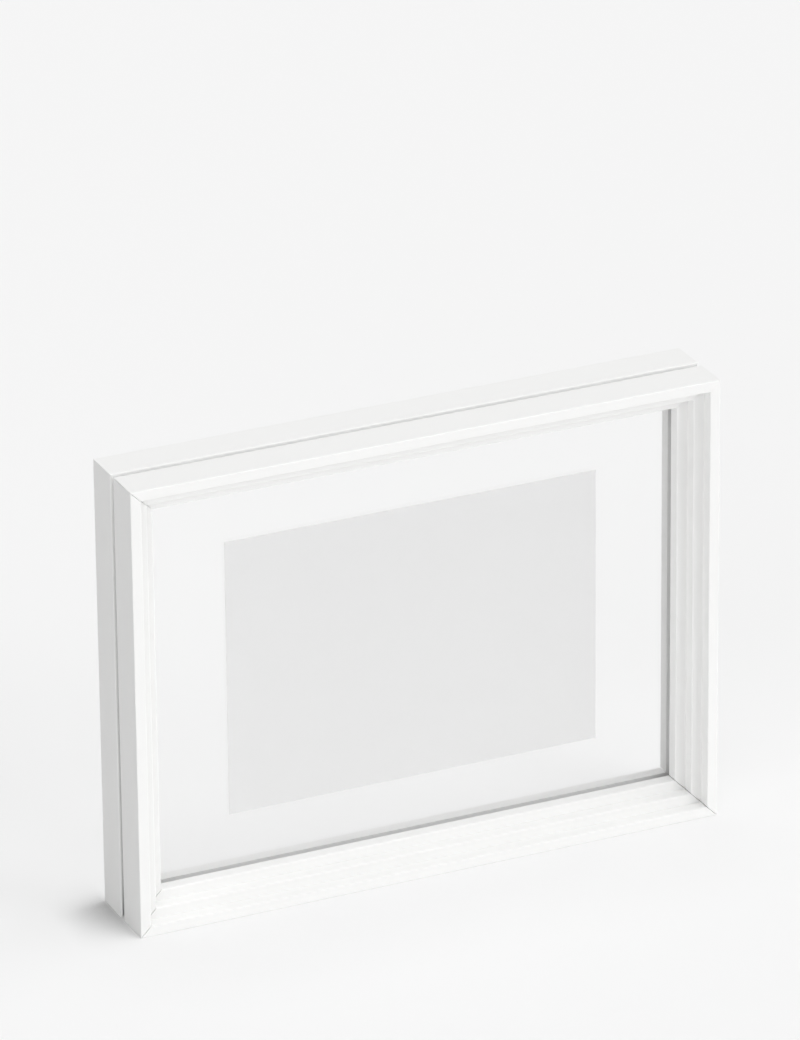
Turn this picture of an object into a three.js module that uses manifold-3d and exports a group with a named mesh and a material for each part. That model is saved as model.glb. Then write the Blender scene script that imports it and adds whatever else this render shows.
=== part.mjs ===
import * as THREE from 'three';
import { mergeVertices } from 'three/addons/utils/BufferGeometryUtils.js';
import Module from 'manifold-3d';

// A deep see-through photo frame that stands on a table, in millimetres.
// +X runs along the width, -Y is the front, +Z is up, and the origin is under the middle.
// Two like halves meet at the parting plane y = 0 and hold two panes with a print between them.

// Overall size
const frameWidth = 282;
const frameHeight = 213;

// Stepped moulding of one half, from the front lip in to the pane
const lipWidth = 5;
const riserWidth = 5.1;
const treadDepth = 6;
const treadCount = 3;

// Panes and print
const paneThickness = 2;
const paneOverlap = 3;
const paneSideClearance = 0.5;
const paneSeatClearance = 0.2;
const printWidth = 179;
const printHeight = 131;
const printThickness = 0.25;
const printClearance = 0.175;

// Shadow groove round the outside, where the halves meet
const grooveWidth = 3;
const grooveDepth = 3.2;

// Joints between rails and between halves
const mitreGap = 0.2;
const partingGap = 0.2;

// Corner nails, one across each mitre
const nailLeg = 6;
const nailThickness = 0.8;
const nailHeight = 7;
const nailClearance = 0.2;

// Disc magnets, in pairs that face each other in the top and bottom rails
const magnetDiameter = 6;
const magnetThickness = 3;
const magnetClearance = 0.15;
const magnetSpacing = 150;

// Locating dowels in the left and right rails
const dowelDiameter = 4;
const dowelLength = 12;
const dowelClearance = 0.15;
const dowelEndClearance = 0.5;

// Roundness of magnets, dowels and their holes
const roundSegments = 32;

// Places that follow from the sizes above
const riserCount = treadCount - 1;
const sightEdge = lipWidth + riserCount * riserWidth;
const paneInnerFace = printThickness / 2 + printClearance;
const paneOuterFace = paneInnerFace + paneThickness;
const rebateDepth = paneOuterFace + paneSeatClearance;
const halfDepth = treadCount * treadDepth + rebateDepth;
const rebateWall = sightEdge - paneOverlap - paneSideClearance;
const partingFace = partingGap / 2;
const holeLine = (grooveDepth + rebateWall) / 2;
const nailLine = holeLine - nailLeg / 2;
const paneEdge = sightEdge - paneOverlap;
const dowelReach = dowelLength / 2;

const wasm = await Module();
wasm.setup();

const paint = { color: 0xf1f1ee, roughness: 0.5, metalness: 0 };
const clearGlass = { color: 0xdfe9e6, roughness: 0.05, metalness: 0 };
const printPaper = { color: 0xe2e2e2, roughness: 0.7, metalness: 0 };
const nailSteel = { color: 0x8d9096, roughness: 0.4, metalness: 1 };
const nickel = { color: 0xc9c6bf, roughness: 0.25, metalness: 1 };
const beech = { color: 0xcda877, roughness: 0.7, metalness: 0 };

// The four sides and the four corners, each turned about the Y axis from the bottom rail
// and from the bottom left corner. `sideways` sides run up the frame.
const sides = [
  { name: 'bottom', turn: 0, sideways: false },
  { name: 'right', turn: -Math.PI / 2, sideways: true },
  { name: 'top', turn: Math.PI, sideways: false },
  { name: 'left', turn: Math.PI / 2, sideways: true },
];
const corners = [
  { name: 'bottom_left', turn: 0, x: -1, z: 0 },
  { name: 'bottom_right', turn: -Math.PI / 2, x: 1, z: 0 },
  { name: 'top_right', turn: Math.PI, x: 1, z: 1 },
  { name: 'top_left', turn: Math.PI / 2, x: -1, z: 1 },
];

function toSolid(geometry) {
  const bare = geometry.clone();
  bare.deleteAttribute('normal');
  bare.deleteAttribute('uv');
  const merged = mergeVertices(bare, 1e-4);
  return new wasm.Manifold(new wasm.Mesh({
    numProp: 3,
    vertProperties: Float32Array.from(merged.attributes.position.array),
    triVerts: Uint32Array.from(merged.index.array),
  }));
}

function toGeometry(solid) {
  const mesh = solid.getMesh();
  const geometry = new THREE.BufferGeometry();
  geometry.setAttribute('position', new THREE.BufferAttribute(mesh.vertProperties, 3));
  geometry.setIndex(new THREE.BufferAttribute(mesh.triVerts, 1));
  geometry.computeVertexNormals();
  return geometry;
}

function named(name, geometry, finish) {
  const mesh = new THREE.Mesh(geometry, new THREE.MeshStandardMaterial(finish));
  mesh.name = name;
  return mesh;
}

// Section of the moulding. Across is measured inwards from the outer face, y from the parting plane.
function railSection() {
  const section = new THREE.Shape();
  section.moveTo(0, -grooveWidth / 2);
  section.lineTo(0, -halfDepth);
  let across = lipWidth;
  let y = -halfDepth;
  section.lineTo(across, y);
  for (let step = 0; step < riserCount; step++) {
    y += treadDepth;
    section.lineTo(across, y);
    across += riserWidth;
    section.lineTo(across, y);
  }
  section.lineTo(sightEdge, -rebateDepth);
  section.lineTo(rebateWall, -rebateDepth);
  section.lineTo(rebateWall, -partingFace);
  section.lineTo(grooveDepth, -partingFace);
  section.lineTo(grooveDepth, -grooveWidth / 2);
  section.closePath();
  return section;
}

// One rail lying along X, centred, with its outer face at z = 0 and both ends mitred.
function mitredRail(length) {
  const bar = new THREE.ExtrudeGeometry(railSection(), { depth: 1, bevelEnabled: false });
  const points = bar.attributes.position;
  const endSetback = mitreGap * Math.SQRT1_2;
  for (let i = 0; i < points.count; i++) {
    const across = points.getX(i);
    const y = points.getY(i);
    const reach = length / 2 - endSetback - across;
    points.setXYZ(i, points.getZ(i) > 0.5 ? -reach : reach, y, across);
  }
  return toSolid(bar);
}

// A round bar along Y from y = start to y = end, at (x, z).
function roundBar(radius, start, end, x = 0, z = 0) {
  const bar = new THREE.CylinderGeometry(radius, radius, end - start, roundSegments);
  return bar.translate(x, (start + end) / 2, z);
}

// Outline of a corner nail, seen from the back: two legs along the rails that meet on the mitre.
function nailGeometry(clearance, top) {
  const near = nailLine - clearance;
  const inner = nailLine + nailThickness + clearance;
  const far = nailLine + nailLeg + clearance;
  const outline = new THREE.Shape();
  outline.moveTo(near, near);
  outline.lineTo(far, near);
  outline.lineTo(far, inner);
  outline.lineTo(inner, inner);
  outline.lineTo(inner, far);
  outline.lineTo(near, far);
  outline.closePath();
  const bottom = partingFace + nailClearance + nailHeight + clearance;
  const nail = new THREE.ExtrudeGeometry(outline, { depth: bottom - top, bevelEnabled: false });
  // The outline's y becomes z, and the depth runs from the parting face towards the front.
  return nail.rotateX(Math.PI / 2).translate(0, -top, 0);
}

// The nail slots at both ends of a rail.
function nailSlots(length) {
  const left = toSolid(nailGeometry(nailClearance, 0).translate(-length / 2, 0, 0));
  const right = toSolid(nailGeometry(nailClearance, 0).rotateY(-Math.PI / 2).translate(length / 2, 0, 0));
  return left.add(right);
}

function railGeometry(side) {
  const length = side.sideways ? frameHeight : frameWidth;
  let rail = mitredRail(length).subtract(nailSlots(length));
  if (side.sideways) {
    const depth = dowelReach + dowelEndClearance;
    const hole = roundBar(dowelDiameter / 2 + dowelClearance, -depth, 0, 0, holeLine);
    rail = rail.subtract(toSolid(hole));
  } else {
    const depth = partingFace + magnetThickness + magnetClearance;
    for (const x of [-magnetSpacing / 2, magnetSpacing / 2]) {
      const pocket = roundBar(magnetDiameter / 2 + magnetClearance, -depth, 0, x, holeLine);
      rail = rail.subtract(toSolid(pocket));
    }
  }
  return toGeometry(rail);
}

// Sets a thing that was made as if at the bottom on any of the four sides.
function setOnSide(object, side) {
  const reach = side.sideways ? frameWidth / 2 : frameHeight / 2;
  object.rotation.y = side.turn;
  object.position.set(-Math.sin(side.turn) * reach, 0, frameHeight / 2 - Math.cos(side.turn) * reach);
  return object;
}

// Two magnets of one rail. Seen from the front, the top rail's row and the back half each run the
// other way along X.
function magnetRow(half, side) {
  const row = new THREE.Group();
  const runsBack = (side.name === 'top') !== half.turned;
  for (const end of [-1, 1]) {
    const x = end * magnetSpacing / 2;
    const disc = roundBar(magnetDiameter / 2, -magnetThickness - partingFace, -partingFace, x, holeLine);
    const seenEnd = (end < 0) !== runsBack ? 'left' : 'right';
    row.add(named(`${half.name}_magnet_${side.name}_${seenEnd}`, disc, nickel));
  }
  return setOnSide(row, side);
}

function pane(name) {
  const width = frameWidth - 2 * paneEdge;
  const height = frameHeight - 2 * paneEdge;
  const sheet = new THREE.BoxGeometry(width, paneThickness, height);
  sheet.translate(0, -(paneInnerFace + paneOuterFace) / 2, frameHeight / 2);
  return named(name, sheet, clearGlass);
}

// Left and right are as seen from the front, so they change over in the half that is turned round.
function seenName(place, half) {
  if (!half.turned) return place;
  return place.replace(/left|right/, (word) => (word === 'left' ? 'right' : 'left'));
}

// One half of the frame, with its lip at the front. The back half is the same, turned round.
function frameHalf(half) {
  const group = new THREE.Group();
  for (const side of sides) {
    const railName = `${half.name}_rail_${seenName(side.name, half)}`;
    group.add(setOnSide(named(railName, railGeometry(side), paint), side));
    if (!side.sideways) group.add(magnetRow(half, side));
  }
  for (const corner of corners) {
    const nail = nailGeometry(0, partingFace + nailClearance);
    const mesh = named(`${half.name}_corner_nail_${seenName(corner.name, half)}`, nail, nailSteel);
    mesh.rotation.y = corner.turn;
    mesh.position.set(corner.x * frameWidth / 2, 0, corner.z * frameHeight);
    group.add(mesh);
  }
  group.add(pane(`${half.name}_pane`));
  group.rotation.z = half.turned ? Math.PI : 0;
  return group;
}

function photoPrint() {
  const sheet = new THREE.BoxGeometry(printWidth, printThickness, printHeight);
  return named('photo_print', sheet.translate(0, 0, frameHeight / 2), printPaper);
}

function dowel(side) {
  const pin = roundBar(dowelDiameter / 2, -dowelReach, dowelReach, 0, holeLine);
  return setOnSide(named(`dowel_${side.name}`, pin, beech), side);
}

const frame = new THREE.Group();
frame.add(frameHalf({ name: 'front', turned: false }));
frame.add(frameHalf({ name: 'back', turned: true }));
frame.add(photoPrint());
frame.add(...sides.filter((side) => side.sideways).map(dowel));

export default frame;
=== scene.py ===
import math

import bmesh
import bpy
from mathutils import Matrix, Quaternion, Vector


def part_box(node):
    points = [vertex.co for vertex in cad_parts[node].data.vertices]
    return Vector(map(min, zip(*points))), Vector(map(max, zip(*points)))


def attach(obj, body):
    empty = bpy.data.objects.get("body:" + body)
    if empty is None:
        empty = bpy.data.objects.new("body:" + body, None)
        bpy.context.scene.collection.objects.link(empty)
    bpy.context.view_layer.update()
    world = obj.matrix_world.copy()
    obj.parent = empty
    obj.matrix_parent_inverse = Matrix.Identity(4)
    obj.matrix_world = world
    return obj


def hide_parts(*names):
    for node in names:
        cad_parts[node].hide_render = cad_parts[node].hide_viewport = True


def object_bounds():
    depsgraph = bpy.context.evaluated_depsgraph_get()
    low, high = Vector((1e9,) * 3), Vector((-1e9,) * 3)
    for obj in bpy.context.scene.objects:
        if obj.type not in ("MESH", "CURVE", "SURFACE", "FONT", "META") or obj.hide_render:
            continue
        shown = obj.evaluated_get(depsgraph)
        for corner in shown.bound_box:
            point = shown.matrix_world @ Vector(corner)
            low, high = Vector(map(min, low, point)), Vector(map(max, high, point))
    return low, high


# A deep, see-through photo frame: two like halves of stepped white moulding, two panes, one print.
# X is the width, -Y the front, Z up, all in metres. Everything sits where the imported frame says.

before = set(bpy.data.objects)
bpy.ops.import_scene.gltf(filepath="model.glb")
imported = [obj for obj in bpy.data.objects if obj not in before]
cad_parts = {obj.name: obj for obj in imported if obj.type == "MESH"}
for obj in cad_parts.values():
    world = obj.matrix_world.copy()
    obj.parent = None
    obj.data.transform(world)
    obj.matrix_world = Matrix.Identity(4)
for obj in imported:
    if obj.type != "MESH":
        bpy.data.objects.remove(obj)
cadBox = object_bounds()
scene = bpy.context.scene
print("frame loaded:", len(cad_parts), "nodes")


# Sizes read from the frame

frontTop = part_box("front_rail_top")
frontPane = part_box("front_pane")
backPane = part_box("back_pane")
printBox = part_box("photo_print")
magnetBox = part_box("front_magnet_bottom_right")
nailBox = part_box("front_corner_nail_bottom_left")
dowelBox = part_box("dowel_right")

size = {
    "width": cadBox[1].x - cadBox[0].x,
    "height": cadBox[1].z - cadBox[0].z,
    "halfDepth": -cadBox[0].y,
    "parting": -frontTop[1].y,  # each half stops this far short of the middle plane
}
holeLine = (magnetBox[0].z + magnetBox[1].z) / 2  # magnets and dowels stand this far in
centre = Vector((0, 0, size["height"] / 2))

sides = {  # turn about Y from the bottom rail, whether it runs up the frame, and its two corners
    "bottom": (0, False, "bottomLeft", "bottomRight"),
    "right": (-math.pi / 2, True, "bottomRight", "topRight"),
    "top": (math.pi, False, "topRight", "topLeft"),
    "left": (math.pi / 2, True, "topLeft", "bottomLeft"),
}


# Small helpers

def addNode(tree, kind, inputs=None, **settings):
    node = tree.nodes.new(kind)
    for key, value in settings.items():
        setattr(node, key, value)
    for key, value in (inputs or {}).items():
        socket = node.inputs[key]
        if isinstance(value, bpy.types.NodeSocket):
            tree.links.new(value, socket)
        else:
            socket.default_value = value
    return node


def calc(tree, operation, *values):
    return addNode(tree, "ShaderNodeMath", dict(enumerate(values)), operation=operation).outputs[0]


def vectorCalc(tree, operation, *values):
    kind = "ShaderNodeVectorMath"
    return addNode(tree, kind, dict(enumerate(values)), operation=operation).outputs[0]


def scaled(tree, vector, factor):
    made = addNode(tree, "ShaderNodeVectorMath", {0: vector, "Scale": factor}, operation="SCALE")
    return made.outputs[0]


def split(tree, vector):
    return addNode(tree, "ShaderNodeSeparateXYZ", {0: vector}).outputs


def seenRays(tree):
    # 1 for what the camera sees, straight, in a reflection or through glass
    ray = addNode(tree, "ShaderNodeLightPath")
    seen = calc(tree, "MAXIMUM", ray.outputs["Is Camera Ray"], ray.outputs["Is Glossy Ray"])
    return calc(tree, "MAXIMUM", seen, ray.outputs["Is Transmission Ray"])


def newObject(name, mesh):
    made = bpy.data.objects.new(name, mesh)
    scene.collection.objects.link(made)
    return made


def meshFrom(name, bm, *materials):
    bmesh.ops.recalc_face_normals(bm, faces=bm.faces)
    mesh = bpy.data.meshes.new(name)
    bm.to_mesh(mesh)
    bm.free()
    for material in materials:
        mesh.materials.append(material)
    return mesh


def evaluatedMesh(holder):
    bpy.context.view_layer.update()
    ready = holder.evaluated_get(bpy.context.evaluated_depsgraph_get())
    return bpy.data.meshes.new_from_object(ready)


def removeObject(*holders):
    for holder in holders:
        bpy.data.objects.remove(holder)


def setInput(modifier, name, value):
    modifier[modifier.node_group.interface.items_tree[name].identifier] = value


def newGeometryTree(name, inputs):
    tree = bpy.data.node_groups.new(name, "GeometryNodeTree")
    tree.interface.new_socket("Geometry", in_out="OUTPUT", socket_type="NodeSocketGeometry")
    for label, kind in inputs:
        tree.interface.new_socket(label, in_out="INPUT", socket_type="NodeSocket" + kind)
    return tree, tree.nodes.new("NodeGroupInput").outputs


def closeTree(tree, geometry, material):
    real = addNode(tree, "GeometryNodeRealizeInstances", {"Geometry": geometry}).outputs[0]
    painted = addNode(tree, "GeometryNodeSetMaterial", {"Geometry": real, "Material": material})
    tree.links.new(painted.outputs[0], tree.nodes.new("NodeGroupOutput").inputs[0])


def runTree(name, tree, values):
    holder = newObject(name, bpy.data.meshes.new(name))
    modifier = holder.modifiers.new("shape", "NODES")
    modifier.node_group = tree
    for label, value in values.items():
        setInput(modifier, label, value)
    mesh = evaluatedMesh(holder)
    mesh.name = name
    holder.modifiers.remove(modifier)
    holder.data = mesh
    return holder


def smoothWithin(mesh, degrees):
    mesh.shade_smooth()
    mesh.set_sharp_from_angle(angle=math.radians(degrees))


def weighted(holder):
    holder.modifiers.new("weighted", "WEIGHTED_NORMAL").keep_sharp = True
    mesh = evaluatedMesh(holder)
    holder.modifiers.clear()
    holder.data = mesh


def finishPiece(piece, body, slotName, *nodes):
    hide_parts(*nodes)
    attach(piece, body)


# Camera: the photograph's own view

camera = {
    "azimuth": -24.54,
    "elevation": 24.07,
    "roll": -0.54,
    "aim": (-0.0053, 0, 0.1659),  # the middle of the picture on the frame's mid plane
    "distance": 3.449,
    "lens": 273,
    "sensor": 36,
    "farthest": 60,
}


def makeCamera(values):
    a, e = math.radians(values["azimuth"]), math.radians(values["elevation"])
    back = Vector((math.sin(a) * math.cos(e), -math.cos(a) * math.cos(e), math.sin(e)))
    holder = bpy.data.objects.new("camera", bpy.data.cameras.new("camera"))
    scene.collection.objects.link(holder)
    holder.data.lens = values["lens"]
    holder.data.sensor_width = values["sensor"]
    holder.data.clip_end = values["farthest"]
    holder.location = Vector(values["aim"]) + back * values["distance"]
    holder.rotation_mode = "QUATERNION"
    level = (-back).to_track_quat("-Z", "Y")
    holder.rotation_quaternion = level @ Quaternion((0, 0, 1), math.radians(values["roll"]))
    scene.camera = holder


makeCamera(camera)
scene.view_settings.view_transform = "Standard"
print("camera set")


# Light: broad soft lamps all round the table, in front of a pale backdrop

light = {
    "lamps": {  # degrees round from the front to the right, degrees up, strength, degrees across
        "key": (35, 24, 0.85, 30),
        "side": (60, 20, 0.80, 45),
        "edge": (90, 20, 0.78, 45),
        "fill": (-42, 20, 1.08, 50),
        "above": (0, 90, 1.50, 45),
        "behind": (180, 55, 0.42, 45),
    },
    "room": 0.02,
    "backdrop": 0.925,
}


def makeLight(values):
    for name, (around, up, strength, across) in values["lamps"].items():
        a, e = math.radians(around), math.radians(up)
        lamp = bpy.data.objects.new(name, bpy.data.lights.new(name, "SUN"))
        scene.collection.objects.link(lamp)
        lamp.data.energy = strength
        lamp.data.angle = math.radians(across)
        lamp.rotation_mode = "QUATERNION"
        source = Vector((math.sin(a) * math.cos(e), -math.cos(a) * math.cos(e), math.sin(e)))
        lamp.rotation_quaternion = source.to_track_quat("Z", "Y")

    world = bpy.data.worlds.new("paleRoom")
    scene.world = world
    world.use_nodes = True
    tree = world.node_tree
    tree.nodes.clear()
    change = values["backdrop"] - values["room"]
    strength = calc(tree, "MULTIPLY_ADD", seenRays(tree), change, values["room"])
    pale = addNode(tree, "ShaderNodeBackground", {"Color": (1, 1, 1, 1), "Strength": strength})
    addNode(tree, "ShaderNodeOutputWorld", {"Surface": pale.outputs[0]})


makeLight(light)
print("light set")


# Effects shared by the materials

def newShaderGroup(name, inputs, outputs):
    group = bpy.data.node_groups.new(name, "ShaderNodeTree")
    for label, kind, value in inputs:
        socket = group.interface.new_socket(label, in_out="INPUT", socket_type="NodeSocket" + kind)
        socket.default_value = value
    for label, kind in outputs:
        group.interface.new_socket(label, in_out="OUTPUT", socket_type="NodeSocket" + kind)
    given = group.nodes.new("NodeGroupInput").outputs
    return group, given, group.nodes.new("NodeGroupOutput").inputs


def makeGrainGroup():
    # two sizes of noise, stretched along any axis: a height for bump and a mask for tone
    group, given, out = newShaderGroup(
        "surfaceGrain",
        [("Fine", "Float", 900.0), ("Broad", "Float", 60.0), ("Stretch", "Vector", (1, 1, 1))],
        [("Height", "Float"), ("Mask", "Float")],
    )
    place = addNode(group, "ShaderNodeTexCoord").outputs["Object"]
    place = vectorCalc(group, "MULTIPLY", place, given["Stretch"])
    fine = addNode(group, "ShaderNodeTexNoise", {
        "Vector": place, "Scale": given["Fine"], "Detail": 3.0})
    broad = addNode(group, "ShaderNodeTexNoise", {
        "Vector": place, "Scale": given["Broad"], "Detail": 2.0})
    group.links.new(fine.outputs[0], out["Height"])
    group.links.new(broad.outputs[0], out["Mask"])
    return group


def makeToneGroup():
    # moves a colour a little lighter or darker by a mask
    group, given, out = newShaderGroup(
        "toneDrift",
        [("Color", "Color", (1, 1, 1, 1)), ("Mask", "Float", 0.5), ("Amount", "Float", 0.02)],
        [("Color", "Color")],
    )
    low = calc(group, "SUBTRACT", 1.0, given["Amount"])
    span = calc(group, "MULTIPLY", given["Amount"], 2.0)
    factor = calc(group, "MULTIPLY_ADD", given["Mask"], span, low)
    group.links.new(scaled(group, given["Color"], factor), out["Color"])
    return group


def makeSpanGroup():
    # turns a mask into a value between two limits
    group, given, out = newShaderGroup(
        "maskToRange",
        [("Mask", "Float", 0.5), ("Low", "Float", 0.4), ("High", "Float", 0.5)],
        [("Value", "Float")],
    )
    span = calc(group, "SUBTRACT", given["High"], given["Low"])
    group.links.new(calc(group, "MULTIPLY_ADD", given["Mask"], span, given["Low"]), out["Value"])
    return group


# painted shade: the paint inside the outer groove is darkened where shade falls, more towards the
# foot
paintedGrooveShade = {
    "start": 0.0003,  # how deep in the groove the shade starts
    "full": 0.0011,  # and where it is full
    "fade": 0.4,  # how it grows from the top down: below 1 soon, above 1 late
    "footFade": 16.0,
}


def makePaintedShadeGroup(values):
    # paints shade into a colour inside the groove round the outside, more the deeper and the nearer
    # the foot
    group, given, out = newShaderGroup(
        "paintedGrooveShade",
        [("Color", "Color", (1, 1, 1, 1)), ("Half Width", "Float", 0.1), ("Height", "Float", 0.2),
         ("Half Groove", "Float", 0.001), ("Groove Depth", "Float", 0.003),
         ("Amount", "Float", 0.3), ("Foot Amount", "Float", 0.6)],
        [("Color", "Color")],
    )
    place = split(group, addNode(group, "ShaderNodeTexCoord").outputs["Object"])
    fromSide = calc(group, "SUBTRACT", given["Half Width"], calc(group, "ABSOLUTE", place["X"]))
    fromTop = calc(group, "SUBTRACT", given["Height"], place["Z"])
    fromEnds = calc(group, "MINIMUM", place["Z"], fromTop)
    depth = calc(group, "MINIMUM", fromSide, fromEnds)
    isBetween = calc(group, "LESS_THAN", calc(group, "ABSOLUTE", place["Y"]), given["Half Groove"])
    isShallow = calc(group, "LESS_THAN", depth, given["Groove Depth"])
    deep = addNode(group, "ShaderNodeMapRange", {
        "Value": depth, "From Min": values["start"], "From Max": values["full"]},
        interpolation_type="SMOOTHSTEP").outputs[0]
    low = calc(group, "SUBTRACT", 1.0, calc(group, "DIVIDE", place["Z"], given["Height"]))
    amount = calc(group, "MULTIPLY", calc(group, "POWER", low, values["fade"]), given["Amount"])
    rise = calc(group, "POWER", low, values["footFade"])
    amount = calc(group, "MULTIPLY_ADD", rise, given["Foot Amount"], amount)
    isInside = calc(group, "MULTIPLY", isBetween, isShallow)
    amount = calc(group, "MULTIPLY", calc(group, "MULTIPLY", amount, deep), isInside)
    tone = calc(group, "SUBTRACT", 1.0, amount)
    group.links.new(scaled(group, given["Color"], tone), out["Color"])
    return group


grainGroup = makeGrainGroup()
toneGroup = makeToneGroup()
spanGroup = makeSpanGroup()
paintedShadeGroup = makePaintedShadeGroup(paintedGrooveShade)


def useGroup(tree, group, inputs):
    return addNode(tree, "ShaderNodeGroup", inputs, node_tree=group).outputs


# Materials
# rough: least and most; fine and broad: the grain's sizes; tone: how far it shifts the colour;
# bump and depth: how strong it stands out, and how high in metres

finishes = {
    "satinPaint": {
        "color": (0.87, 0.87, 0.863), "rough": (0.58, 0.68), "metallic": 0.0, "specular": 0.06,
        "fine": 1100.0, "broad": 45.0, "stretch": (1, 1, 1), "tone": 0.006,
        "bump": 0.05, "depth": 0.00008,
        # the groove's size, a hair past its walls, and how much painted shade darkens it
        "paintedShadeInputs": {
            "Half Groove": 0.00152, "Groove Depth": 0.00375, "Amount": 0.24, "Foot Amount": 0.5,
        },
    },
    "bareBoard": {
        "color": (0.50, 0.36, 0.23), "rough": (0.8, 0.95), "metallic": 0.0, "specular": 0.3,
        "fine": 2600.0, "broad": 300.0, "stretch": (1, 1, 1), "tone": 0.18,
        "bump": 0.5, "depth": 0.0002,
    },
    "printFace": {
        "color": (0.825, 0.825, 0.825), "rough": (0.5, 0.6), "metallic": 0.0, "specular": 0.4,
        "fine": 3200.0, "broad": 80.0, "stretch": (1, 1, 1), "tone": 0.006,
        "bump": 0.04, "depth": 0.00004,
    },
    "paperBack": {
        "color": (0.90, 0.90, 0.885), "rough": (0.75, 0.85), "metallic": 0.0, "specular": 0.3,
        "fine": 2600.0, "broad": 120.0, "stretch": (1, 1, 1), "tone": 0.015,
        "bump": 0.12, "depth": 0.00005,
    },
    "nickelPlate": {
        "color": (0.70, 0.67, 0.62), "rough": (0.16, 0.30), "metallic": 1.0, "specular": 0.5,
        "fine": 1800.0, "broad": 500.0, "stretch": (1, 1, 1), "tone": 0.05,
        "bump": 0.08, "depth": 0.00005,
    },
    "nailSteel": {
        "color": (0.52, 0.53, 0.55), "rough": (0.28, 0.48), "metallic": 1.0, "specular": 0.5,
        "fine": 2200.0, "broad": 350.0, "stretch": (1, 0.08, 1), "tone": 0.08,
        "bump": 0.2, "depth": 0.00006,
    },
    "bareBeech": {
        "color": (0.66, 0.45, 0.27), "rough": (0.55, 0.75), "metallic": 0.0, "specular": 0.4,
        "fine": 1500.0, "broad": 420.0, "stretch": (1, 0.07, 1), "tone": 0.16,
        "bump": 0.35, "depth": 0.0001,
    },
}


def newMaterial(name):
    material = bpy.data.materials.new(name)
    material.use_nodes = True
    material.node_tree.nodes.clear()
    return material, material.node_tree


def makeFinish(name, values):
    material, tree = newMaterial(name)
    grain = useGroup(tree, grainGroup, {
        "Fine": values["fine"], "Broad": values["broad"], "Stretch": values["stretch"]})
    color = useGroup(tree, toneGroup, {
        "Color": (*values["color"], 1), "Mask": grain["Mask"], "Amount": values["tone"]})
    # painted shade inside the outer groove
    if "paintedShadeInputs" in values:
        color = useGroup(tree, paintedShadeGroup, {
            "Color": color[0], "Half Width": size["width"] / 2, "Height": size["height"],
            **values["paintedShadeInputs"]})
    rough = useGroup(tree, spanGroup, {
        "Mask": grain["Mask"], "Low": values["rough"][0], "High": values["rough"][1]})
    bump = addNode(tree, "ShaderNodeBump", {
        "Height": grain["Height"], "Strength": values["bump"], "Distance": values["depth"]})
    surface = addNode(tree, "ShaderNodeBsdfPrincipled", {
        "Base Color": color[0], "Roughness": rough[0], "Metallic": values["metallic"],
        "Specular IOR Level": values["specular"], "Normal": bump.outputs[0]})
    addNode(tree, "ShaderNodeOutputMaterial", {"Surface": surface.outputs[0]})
    return material


glassBody = {"ior": 1.52, "fine": 700.0, "broad": 30.0, "tone": 0.002}
glassFinishes = {  # turned: how many times one face's share of light a pane turns back
    "clearGlass": {
        "color": (0.9995, 1.0, 0.9995), "rough": (0.0, 0.004), "shade": 0.975, "turned": 1.8,
    },
    "groundEdge": {
        "color": (0.80, 0.92, 0.88), "rough": (0.30, 0.42), "shade": 0.80, "turned": 1.0,
    },
}


def makeGlass(name, values):
    # light passes straight through for shadows and bounces, so that what stands behind it is lit,
    # but for the share that both faces of a pane turn back
    material, tree = newMaterial(name)
    grain = useGroup(tree, grainGroup, {"Fine": glassBody["fine"], "Broad": glassBody["broad"]})
    rough = useGroup(tree, spanGroup, {
        "Mask": grain["Mask"], "Low": values["rough"][0], "High": values["rough"][1]})
    color = useGroup(tree, toneGroup, {
        "Color": (*values["color"], 1), "Mask": grain["Mask"], "Amount": glassBody["tone"]})
    surface = addNode(tree, "ShaderNodeBsdfPrincipled", {
        "Base Color": color[0], "Roughness": rough[0], "Metallic": 0.0,
        "IOR": glassBody["ior"], "Transmission Weight": 1.0})
    through = addNode(tree, "ShaderNodeBsdfTransparent", {"Color": (*[values["shade"]] * 3, 1)})
    mirrored = addNode(tree, "ShaderNodeBsdfAnisotropic", {"Color": (1, 1, 1, 1), "Roughness": 0.0})
    fresnel = addNode(tree, "ShaderNodeFresnel", {"IOR": glassBody["ior"]}).outputs[0]
    isInside = addNode(tree, "ShaderNodeNewGeometry").outputs["Backfacing"]
    share = calc(tree, "MULTIPLY", calc(tree, "MULTIPLY", fresnel, values["turned"]),
                 calc(tree, "SUBTRACT", 1.0, isInside))
    share = calc(tree, "MINIMUM", share, 1.0)
    pane = addNode(tree, "ShaderNodeMixShader", {
        0: share, 1: through.outputs[0], 2: mirrored.outputs[0]})
    ray = addNode(tree, "ShaderNodeLightPath")
    bounced = calc(tree, "MAXIMUM", ray.outputs["Is Shadow Ray"], ray.outputs["Is Diffuse Ray"])
    mixed = addNode(tree, "ShaderNodeMixShader", {
        0: bounced, 1: surface.outputs[0], 2: pane.outputs[0]})
    addNode(tree, "ShaderNodeOutputMaterial", {"Surface": mixed.outputs[0]})
    return material


materials = {name: makeFinish(name, values) for name, values in finishes.items()}
materials.update({name: makeGlass(name, values) for name, values in glassFinishes.items()})
print("materials made:", len(materials))


# Cutters: what is bored or sunk into the parting faces

pocket = {
    "clearance": 0.00015,
    "nailClearance": 0.0002,
    "dowelEnd": 0.0005,
    "overrun": 0.001,  # how far each cutter reaches out of the parting face
    "sides": 48,
}


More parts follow.
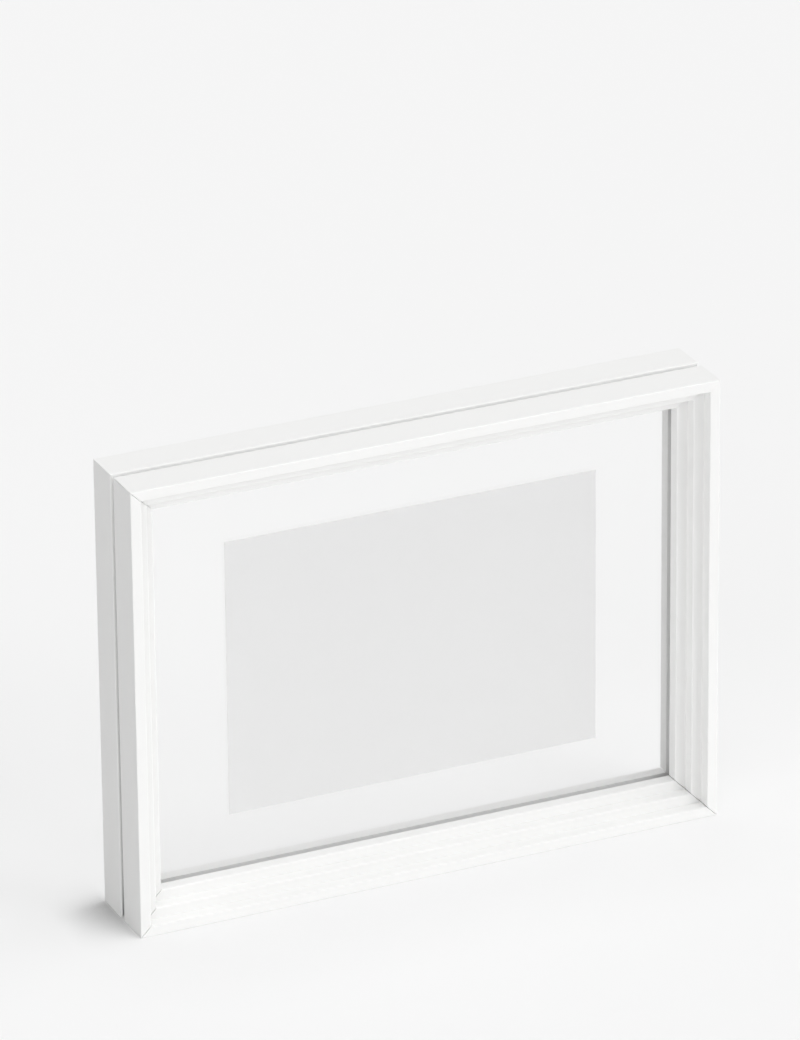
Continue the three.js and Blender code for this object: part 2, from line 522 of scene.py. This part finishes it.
def roundBar(bm, radius, start, end, x, z, chamfer=0.0):
    # a bar along Y with chamfered ends, seen end on at (x, z)
    rings = []
    stations = [(start, radius), (end, radius)]
    if chamfer:
        small = radius - chamfer
        stations = [(start, small), (start + chamfer, radius), (end - chamfer, radius)]
        stations.append((end, small))
    for y, r in stations:
        ring = []
        for i in range(pocket["sides"]):
            angle = 2 * math.pi * i / pocket["sides"]
            ring.append(bm.verts.new((x + r * math.cos(angle), y, z + r * math.sin(angle))))
        rings.append(ring)
    for low, high in zip(rings, rings[1:]):
        for i in range(pocket["sides"]):
            j = (i + 1) % pocket["sides"]
            bm.faces.new((low[i], low[j], high[j], high[i]))
    bm.faces.new(rings[0])
    bm.faces.new(rings[-1])


nail = {
    "leg": nailBox[1].x - nailBox[0].x,
    "start": nailBox[0].z,  # the mitre point of the nail, as far in along both rails
    "top": -nailBox[1].y,
    "bottom": -nailBox[0].y,
    "thickness": 0.0008,
}


def nailOutline(clearance):
    near = nail["start"] - clearance
    inner = nail["start"] + nail["thickness"] + clearance
    far = nail["start"] + nail["leg"] + clearance
    return [(near, near), (far, near), (far, inner), (inner, inner), (inner, far), (near, far)]


def prismAlongY(bm, outline, start, end):
    low = [bm.verts.new((x, start, z)) for x, z in outline]
    high = [bm.verts.new((x, end, z)) for x, z in outline]
    bm.faces.new(low)
    bm.faces.new(high)
    for i in range(len(outline)):
        j = (i + 1) % len(outline)
        bm.faces.new((low[i], low[j], high[j], high[i]))


def makeCutter(length, upright):
    bm = bmesh.new()
    magnetReach = (magnetBox[1].x + magnetBox[0].x) / 2
    overrun = pocket["overrun"]
    if upright:
        radius = (dowelBox[1].x - dowelBox[0].x) / 2 + pocket["clearance"]
        depth = dowelBox[1].y + pocket["dowelEnd"]
        roundBar(bm, radius, -depth, overrun, 0, holeLine)
    else:
        radius = (magnetBox[1].x - magnetBox[0].x) / 2 + pocket["clearance"]
        depth = -magnetBox[0].y + pocket["clearance"]
        for x in (-magnetReach, magnetReach):
            roundBar(bm, radius, -depth, overrun, x, holeLine)
    outline = nailOutline(pocket["nailClearance"])
    depth = nail["bottom"] + pocket["nailClearance"]
    for end in (-1, 1):
        prismAlongY(bm, [(end * (length / 2 - x), z) for x, z in outline], -depth, overrun)
    return newObject("cutter", meshFrom("cutter", bm, materials["bareBoard"]))


# The moulding: one section swept along each rail and mitred at both ends

moulding = {
    "lip": 0.005,
    "riser": 0.0051,
    "tread": 0.006,
    "steps": 2,
    "rebateDepth": 0.0025,
    "rebateWall": 0.0117,
    "grooveWidth": 0.003,
    "grooveDepth": 0.0037,
    "gaps": {  # how far each mitre stands open, as seen from the half's own front
        "bottomLeft": 0.00023, "bottomRight": 0.00018, "topRight": 0.00003, "topLeft": 0.00014,
    },
    "edge": 0.00045,  # roundness of the outer edges
    "grooveEdge": 0.0006,  # and of the two edges beside the groove
    "crest": 0.0006,  # roundness of each step's crest
    "valley": 0.0002,  # paint that fills each inner corner
    "ledge": 0.00004,  # roundness of the edge that meets the glass
    "hidden": 0.00015,  # roundness of the edges inside the joint and the rebate
    "arcSteps": 5,
    "smoothWithin": 32,  # degrees
    "bevelShare": 0.3,  # a mitre's edges are broken by this much of its gap
    "leastBevel": 0.00001,
}


def sectionPoints(values):
    half, parting = size["halfDepth"], size["parting"]
    points = [(0, -half, values["edge"]), (values["lip"], -half, values["edge"])]
    across, y = values["lip"], -half
    for _ in range(values["steps"]):
        y += values["tread"]
        points.append((across, y, values["valley"]))
        across += values["riser"]
        points.append((across, y, values["crest"]))
    points += [
        (across, -values["rebateDepth"], values["ledge"]),
        (values["rebateWall"], -values["rebateDepth"], values["hidden"]),
        (values["rebateWall"], -parting, values["hidden"]),
        (values["grooveDepth"], -parting, values["hidden"]),
        (values["grooveDepth"], -values["grooveWidth"] / 2, values["hidden"]),
        (0, -values["grooveWidth"] / 2, values["grooveEdge"]),
    ]
    return points


def makeSection(values):
    curve = bpy.data.curves.new("section", "CURVE")
    spline = curve.splines.new("POLY")
    points = sectionPoints(values)
    spline.points.add(len(points) - 1)
    for point, (across, y, radius) in zip(spline.points, points):
        point.co = (across, y, 0, 1)
        point.radius = radius
    spline.use_cyclic_u = True
    return newObject("section", curve)


def makeRailTree():
    # the section's x is the way in from the outer face, and its y the depth
    tree, given = newGeometryTree("mitredRail", [
        ("Section", "Object"), ("Length", "Float"), ("Near Gap", "Float"), ("Far Gap", "Float"),
        ("Arc Steps", "Int"), ("Material", "Material")])
    section = addNode(tree, "GeometryNodeObjectInfo", {"Object": given["Section"]})
    radius = addNode(tree, "GeometryNodeInputRadius").outputs[0]
    rounded = addNode(tree, "GeometryNodeFilletCurve", {
        "Curve": section.outputs["Geometry"], "Radius": radius, "Count": given["Arc Steps"],
        "Limit Radius": True}, mode="POLY")
    tangent = addNode(tree, "GeometryNodeInputTangent").outputs[0]
    outward = vectorCalc(tree, "CROSS_PRODUCT", tangent, (0, 0, 1))
    kept = addNode(tree, "GeometryNodeStoreNamedAttribute", {
        "Geometry": rounded.outputs[0], "Name": "outward", "Value": outward},
        data_type="FLOAT_VECTOR", domain="POINT")
    line = addNode(tree, "GeometryNodeCurvePrimitiveLine", {"End": (0, 0, 1)})
    rings = addNode(tree, "GeometryNodeResampleCurve", {"Curve": line.outputs[0], "Count": 5})
    swept = addNode(tree, "GeometryNodeCurveToMesh", {
        "Curve": rings.outputs[0], "Profile Curve": kept.outputs[0],
        "Fill Caps": True, "Scale": 1.0})

    # five rings: both caps, a ring a bevel's width in from each, and one in the middle
    place = split(tree, addNode(tree, "GeometryNodeInputPosition").outputs[0])
    way = calc(tree, "MULTIPLY_ADD", place["Z"], -2.0, 1.0)
    isEnd = calc(tree, "GREATER_THAN", calc(tree, "ABSOLUTE", way), 0.75)
    isOuter = calc(tree, "GREATER_THAN", calc(tree, "ABSOLUTE", way), 0.25)
    isFar = calc(tree, "GREATER_THAN", way, 0.0)
    change = calc(tree, "SUBTRACT", given["Far Gap"], given["Near Gap"])
    gap = calc(tree, "MULTIPLY_ADD", isFar, change, given["Near Gap"])
    bevel = calc(tree, "MULTIPLY_ADD", gap, moulding["bevelShare"], moulding["leastBevel"])
    half = calc(tree, "MULTIPLY", given["Length"], 0.5)
    setback = calc(tree, "MULTIPLY", gap, math.sqrt(0.5))
    reach = calc(tree, "SUBTRACT", calc(tree, "SUBTRACT", half, setback), place["X"])
    inset = calc(tree, "MULTIPLY", calc(tree, "SUBTRACT", 1.0, isEnd), bevel)
    reach = calc(tree, "MULTIPLY", calc(tree, "SUBTRACT", reach, inset), isOuter)
    along = calc(tree, "MULTIPLY", reach, calc(tree, "SIGN", way))
    face = addNode(tree, "ShaderNodeCombineXYZ", {
        "X": along, "Y": place["Y"], "Z": place["X"]}).outputs[0]
    normal = addNode(
        tree, "GeometryNodeInputNamedAttribute", {"Name": "outward"}, data_type="FLOAT_VECTOR")
    turned = split(tree, normal.outputs[0])
    turned = addNode(tree, "ShaderNodeCombineXYZ", {"Y": turned["Y"], "Z": turned["X"]}).outputs[0]
    shrink = calc(tree, "MULTIPLY", calc(tree, "MULTIPLY", isEnd, bevel), -1.0)
    mitred = addNode(tree, "GeometryNodeSetPosition", {
        "Geometry": swept.outputs[0], "Position": face, "Offset": scaled(tree, turned, shrink)})
    clean = addNode(tree, "GeometryNodeRemoveAttribute", {
        "Geometry": mitred.outputs[0], "Name": "outward"})
    closeTree(tree, clean.outputs[0], given["Material"])
    return tree


def sidePlace(name, backHalf):
    turn, upright = sides[name][:2]
    reach = size["width"] / 2 if upright else size["height"] / 2
    inward = Vector((math.sin(turn), 0, math.cos(turn)))
    place = Matrix.Translation(centre - inward * reach) @ Matrix.Rotation(turn, 4, "Y")
    return Matrix.Rotation(math.pi if backHalf else 0, 4, "Z") @ place


def seenSide(name, backHalf):
    # left and right are as seen from the front, so they change over in the back half
    return {"left": "right", "right": "left"}.get(name, name) if backHalf else name


def makeRail(tree, section, half, name):
    _, upright, nearCorner, farCorner = sides[name]
    length = size["height"] if upright else size["width"]
    seen = seenSide(name, half == "back")
    rail = runTree(f"painted_{half}_rail_{seen}", tree, {
        "Section": section, "Length": length, "Near Gap": moulding["gaps"][nearCorner],
        "Far Gap": moulding["gaps"][farCorner], "Arc Steps": moulding["arcSteps"],
        "Material": materials["satinPaint"]})
    cutter = makeCutter(length, upright)
    cut = rail.modifiers.new("pockets", "BOOLEAN")
    cut.object = cutter
    cut.operation = "DIFFERENCE"
    cut.solver = "EXACT"
    cut.material_mode = "TRANSFER"
    mesh = evaluatedMesh(rail)
    rail.modifiers.clear()
    rail.data = mesh
    removeObject(cutter)
    smoothWithin(rail.data, moulding["smoothWithin"])
    weighted(rail)
    rail.data.transform(sidePlace(name, half == "back"))
    finishPiece(rail, f"{half}_half", "white_paint", f"{half}_rail_{seen}")
    return rail


railTree = makeRailTree()
sectionCurve = makeSection(moulding)
rails = []
for half in ("front", "back"):
    rails += [makeRail(railTree, sectionCurve, half, name) for name in sides]
removeObject(sectionCurve)
print("rails made:", len(rails), "with", sum(len(r.data.polygons) for r in rails), "faces")


# Panes: float glass with ground edges and a fine bevel all round

glass = {"bevel": 0.0004, "bevelSteps": 2}
facing = 0.99  # a face counts as facing along Y past this share of its normal


def sheetFrom(box, bevel, steps):
    low, high = box
    bm = bmesh.new()
    bmesh.ops.create_cube(bm, size=1)
    for v in bm.verts:
        v.co = Vector((high[k] if v.co[k] > 0 else low[k]) for k in range(3))
    bmesh.ops.bevel(bm, geom=bm.edges[:], offset=bevel, segments=steps, profile=0.5, affect="EDGES")
    bmesh.ops.recalc_face_normals(bm, faces=bm.faces)
    return bm


def makePane(half, box):
    bm = sheetFrom(box, glass["bevel"], glass["bevelSteps"])
    for face in bm.faces:
        face.material_index = 0 if abs(face.normal.y) > facing else 1
        face.smooth = False
    mesh = meshFrom("pane", bm, materials["clearGlass"], materials["groundEdge"])
    pane = newObject(f"glass_{half}_pane", mesh)
    finishPiece(pane, f"{half}_half", "clear_glass", f"{half}_pane")


makePane("front", frontPane)
makePane("back", backPane)
print("panes made")


# Print: a plain grey face on white paper

paper = {"bevel": 0.00003, "bevelSteps": 1}


def makePrint(box):
    bm = sheetFrom(box, paper["bevel"], paper["bevelSteps"])
    for face in bm.faces:
        face.material_index = 0 if face.normal.y < -facing else 1
    mesh = meshFrom("print", bm, materials["printFace"], materials["paperBack"])
    sheet = newObject("grey_print", mesh)
    finishPiece(sheet, "print", "print_paper", "photo_print")


makePrint(printBox)
print("print made")


# Magnets, corner nails and dowels: each made once and set out by a tree

fastener = {
    "magnetChamfer": 0.0003,
    "nailBevel": 0.00012,
    "roundWithin": 30,  # degrees that count as round on magnets and dowels
    "nailWithin": 40,
    "dowelFlutes": 12,
    "fluteDepth": 0.00022,
    "dowelChamfer": 0.0008,
    "dowelSteps": 48,
}


def makeRectangleTree():
    # sets one shape at the four corners of an upright rectangle, turned a quarter at each if asked
    tree, given = newGeometryTree("fourCorners", [
        ("Shape", "Object"), ("Width", "Float"), ("Height", "Float"), ("Middle", "Float"),
        ("Turned", "Float"), ("Material", "Material")])
    grid = addNode(tree, "GeometryNodeMeshGrid", {
        "Size X": given["Width"], "Size Y": given["Height"], "Vertices X": 2, "Vertices Y": 2})
    place = split(tree, addNode(tree, "GeometryNodeInputPosition").outputs[0])
    x, y = place["X"], place["Y"]
    rightward = calc(tree, "GREATER_THAN", x, 0.0)
    upward = calc(tree, "GREATER_THAN", y, 0.0)
    # quarter turns: none at the lower left, then -1, 2 and 1 going right, up and left again
    lower = calc(tree, "MULTIPLY", rightward, -1.0)
    upper = calc(tree, "ADD", rightward, 1.0)
    isLower = calc(tree, "SUBTRACT", 1.0, upward)
    lower = calc(tree, "MULTIPLY", lower, isLower)
    quarters = calc(tree, "MULTIPLY_ADD", upper, upward, lower)
    turn = calc(tree, "MULTIPLY", calc(tree, "MULTIPLY", quarters, math.pi / 2), given["Turned"])
    rotation = addNode(tree, "ShaderNodeCombineXYZ", {"Y": turn}).outputs[0]
    height = calc(tree, "ADD", y, given["Middle"])
    upright = addNode(tree, "ShaderNodeCombineXYZ", {"X": x, "Z": height}).outputs[0]
    # the turn is worked out before the grid stands up, and kept on its points
    kept = addNode(tree, "GeometryNodeStoreNamedAttribute", {
        "Geometry": grid.outputs[0], "Name": "turn", "Value": rotation},
        data_type="FLOAT_VECTOR", domain="POINT")
    stood = addNode(tree, "GeometryNodeSetPosition", {
        "Geometry": kept.outputs[0], "Position": upright})
    shape = addNode(tree, "GeometryNodeObjectInfo", {"Object": given["Shape"]}).outputs["Geometry"]
    stored = addNode(
        tree, "GeometryNodeInputNamedAttribute", {"Name": "turn"}, data_type="FLOAT_VECTOR")
    copies = addNode(tree, "GeometryNodeInstanceOnPoints", {
        "Points": stood.outputs[0], "Instance": shape, "Rotation": stored.outputs[0]})
    closeTree(tree, copies.outputs[0], given["Material"])
    return tree


def halfTurned(piece, backHalf):
    if backHalf:
        piece.data.transform(Matrix.Rotation(math.pi, 4, "Z"))
    return piece


def fastenerNodes(half, kind):
    return [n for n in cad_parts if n.startswith(f"{half}_{kind}_")]


def finishFasteners(pieces, half, kind, slotName):
    nodes = fastenerNodes(half, kind)
    finishPiece(halfTurned(pieces, half == "back"), f"{half}_half", slotName, *nodes)


def makeMagnets(tree, half):
    bm = bmesh.new()
    radius = (magnetBox[1].x - magnetBox[0].x) / 2
    roundBar(bm, radius, magnetBox[0].y, magnetBox[1].y, 0, 0, fastener["magnetChamfer"])
    shape = newObject("magnet", meshFrom("magnet", bm))
    magnets = runTree(f"nickel_{half}_magnets", tree, {
        "Shape": shape, "Width": magnetBox[0].x + magnetBox[1].x,
        "Height": size["height"] - 2 * holeLine, "Middle": size["height"] / 2,
        "Turned": 0.0, "Material": materials["nickelPlate"]})
    removeObject(shape)
    smoothWithin(magnets.data, fastener["roundWithin"])
    finishFasteners(magnets, half, "magnet", "magnet_nickel")


def makeNails(tree, half):
    bm = bmesh.new()
    prismAlongY(bm, nailOutline(0), -nail["bottom"], -nail["top"])
    bmesh.ops.recalc_face_normals(bm, faces=bm.faces)
    bmesh.ops.bevel(
        bm, geom=bm.edges[:], offset=fastener["nailBevel"], segments=2, profile=0.5, affect="EDGES")
    shape = newObject("nail", meshFrom("nail", bm))
    nails = runTree(f"steel_{half}_corner_nails", tree, {
        "Shape": shape, "Width": size["width"], "Height": size["height"],
        "Middle": size["height"] / 2, "Turned": 1.0, "Material": materials["nailSteel"]})
    removeObject(shape)
    smoothWithin(nails.data, fastener["nailWithin"])
    finishFasteners(nails, half, "corner_nail", "nail_steel")


def makeDowelTree():
    # a fluted bar along Y: a ring whose radius follows its flutes, swept and drawn in at both ends
    tree, given = newGeometryTree("flutedDowel", [
        ("Radius", "Float"), ("Length", "Float"), ("Chamfer", "Float"), ("Flutes", "Float"),
        ("Flute Depth", "Float"), ("Steps", "Int"), ("Across", "Float"), ("Middle", "Float"),
        ("Material", "Material")])
    ring = addNode(tree, "GeometryNodeCurvePrimitiveCircle", {
        "Resolution": given["Steps"], "Radius": given["Radius"]})
    place = addNode(tree, "GeometryNodeInputPosition").outputs[0]
    flat = split(tree, place)
    angle = calc(tree, "ARCTAN2", flat["Y"], flat["X"])
    wave = calc(tree, "COSINE", calc(tree, "MULTIPLY", angle, given["Flutes"]))
    dip = calc(tree, "MULTIPLY", calc(tree, "MULTIPLY_ADD", wave, 0.5, 0.5), given["Flute Depth"])
    factor = calc(tree, "SUBTRACT", 1.0, calc(tree, "DIVIDE", dip, given["Radius"]))
    outline = addNode(tree, "GeometryNodeSetPosition", {
        "Geometry": ring.outputs[0], "Position": scaled(tree, place, factor)})
    line = addNode(tree, "GeometryNodeCurvePrimitiveLine", {"End": (0, 0, 1)})
    stations = addNode(tree, "GeometryNodeResampleCurve", {"Curve": line.outputs[0], "Count": 4})
    swept = addNode(tree, "GeometryNodeCurveToMesh", {
        "Curve": stations.outputs[0], "Profile Curve": outline.outputs[0],
        "Fill Caps": True, "Scale": 1.0})
    # four rings: both ends, and one a chamfer's width in from each
    way = calc(tree, "MULTIPLY_ADD", flat["Z"], 2.0, -1.0)
    isEnd = calc(tree, "GREATER_THAN", calc(tree, "ABSOLUTE", way), 0.75)
    drawnIn = calc(tree, "DIVIDE", given["Chamfer"], given["Radius"])
    drawn = calc(tree, "SUBTRACT", 1.0, calc(tree, "MULTIPLY", isEnd, drawnIn))
    short = calc(tree, "MULTIPLY", calc(tree, "SUBTRACT", 1.0, isEnd), given["Chamfer"])
    reach = calc(tree, "SUBTRACT", calc(tree, "MULTIPLY", given["Length"], 0.5), short)
    y = calc(tree, "MULTIPLY", reach, calc(tree, "SIGN", way))
    x = calc(tree, "ADD", calc(tree, "MULTIPLY", flat["X"], drawn), given["Across"])
    z = calc(tree, "SUBTRACT", given["Middle"], calc(tree, "MULTIPLY", flat["Y"], drawn))
    lying = addNode(tree, "ShaderNodeCombineXYZ", {"X": x, "Y": y, "Z": z}).outputs[0]
    laid = addNode(tree, "GeometryNodeSetPosition", {
        "Geometry": swept.outputs[0], "Position": lying})
    closeTree(tree, laid.outputs[0], given["Material"])
    return tree


def makeDowel(tree, side):
    low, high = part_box(f"dowel_{side}")
    dowel = runTree(f"beech_dowel_{side}", tree, {
        "Radius": (high.x - low.x) / 2, "Length": high.y - low.y,
        "Chamfer": fastener["dowelChamfer"], "Flutes": float(fastener["dowelFlutes"]),
        "Flute Depth": fastener["fluteDepth"], "Steps": fastener["dowelSteps"],
        "Across": (low.x + high.x) / 2, "Middle": (low.z + high.z) / 2,
        "Material": materials["bareBeech"]})
    smoothWithin(dowel.data, fastener["roundWithin"])
    finishPiece(dowel, "back_half", "dowel_beech", f"dowel_{side}")


cornerTree = makeRectangleTree()
dowelTree = makeDowelTree()
for half in ("front", "back"):
    makeMagnets(cornerTree, half)
    makeNails(cornerTree, half)
for side in ("left", "right"):
    makeDowel(dowelTree, side)
print("fasteners made")


# Floor: one pale sweep that keeps the frame's shadow, faint further off, with a painted shadow
# darkening it at its foot

floor = {
    "reach": 30.0,
    "color": (0.906, 0.906, 0.906),
    "fine": 400.0,
    "broad": 3.0,
    "tone": 0.001,
    "rough": 0.0,
    "seen": 0.921,  # the level that the lit floor shows
    "veil": 0.58,  # how much of what is seen is that level, whatever the light
    # the foot settings paint a contact shadow: ambient occlusion toward the lamps darkens the level
    # the floor shows
    "footFrom": (0.6, -0.75, 0.3),  # the side whose light the frame's foot keeps off
    "footReach": 0.028,
    "footDepth": 2.4,
    "footFade": 1.5,
    "footRays": 16,
    "footCounts": [  # axis, from, to, and how much of it counts at each: most beside the back half
        ("X", -0.138, -0.142, 0.15, 1.0),
        ("Y", 0.032, 0.016, 0.3, 1.0),
        ("Y", -0.028, 0.010, 0.35, 1.0),
    ],
}


def makeFloor(values):
    bm = bmesh.new()
    bmesh.ops.create_grid(bm, x_segments=1, y_segments=1, size=values["reach"])
    material, tree = newMaterial("paleFloor")
    grain = useGroup(tree, grainGroup, {"Fine": values["fine"], "Broad": values["broad"]})
    color = useGroup(tree, toneGroup, {
        "Color": (*values["color"], 1), "Mask": grain["Mask"], "Amount": values["tone"]})
    surface = addNode(tree, "ShaderNodeBsdfDiffuse", {
        "Color": color[0], "Roughness": values["rough"]})
    # painted shadow at the foot: ambient occlusion toward the lamps darkens the shown level,
    # weighted by place
    lightWay = Vector(values["footFrom"]).normalized()
    toLight = addNode(tree, "ShaderNodeCombineXYZ", dict(zip("XYZ", lightWay))).outputs[0]
    openness = addNode(tree, "ShaderNodeAmbientOcclusion", {
        "Distance": values["footReach"], "Normal": toLight}, samples=values["footRays"])
    shut = calc(tree, "SUBTRACT", 1.0, openness.outputs["AO"])
    paintedFootShadow = calc(tree, "POWER", shut, values["footFade"])
    paintedFootShadow = calc(tree, "MULTIPLY", paintedFootShadow, values["footDepth"])
    place = split(tree, addNode(tree, "ShaderNodeTexCoord").outputs["Object"])
    for axis, start, end, least, most in values["footCounts"]:
        counts = addNode(tree, "ShaderNodeMapRange", {
            "Value": place[axis], "From Min": start, "From Max": end,
            "To Min": least, "To Max": most})
        paintedFootShadow = calc(tree, "MULTIPLY", paintedFootShadow, counts.outputs[0])
    level = calc(tree, "MULTIPLY", calc(tree, "SUBTRACT", 1.0, paintedFootShadow), values["seen"])
    shown = addNode(tree, "ShaderNodeEmission", {"Color": (1, 1, 1, 1), "Strength": level})
    veil = calc(tree, "MULTIPLY", seenRays(tree), values["veil"])
    mixed = addNode(tree, "ShaderNodeMixShader", {
        0: veil, 1: surface.outputs[0], 2: shown.outputs[0]})
    addNode(tree, "ShaderNodeOutputMaterial", {"Surface": mixed.outputs[0]})
    newObject("floor", meshFrom("floor", bm, material))


makeFloor(floor)
print("floor made")
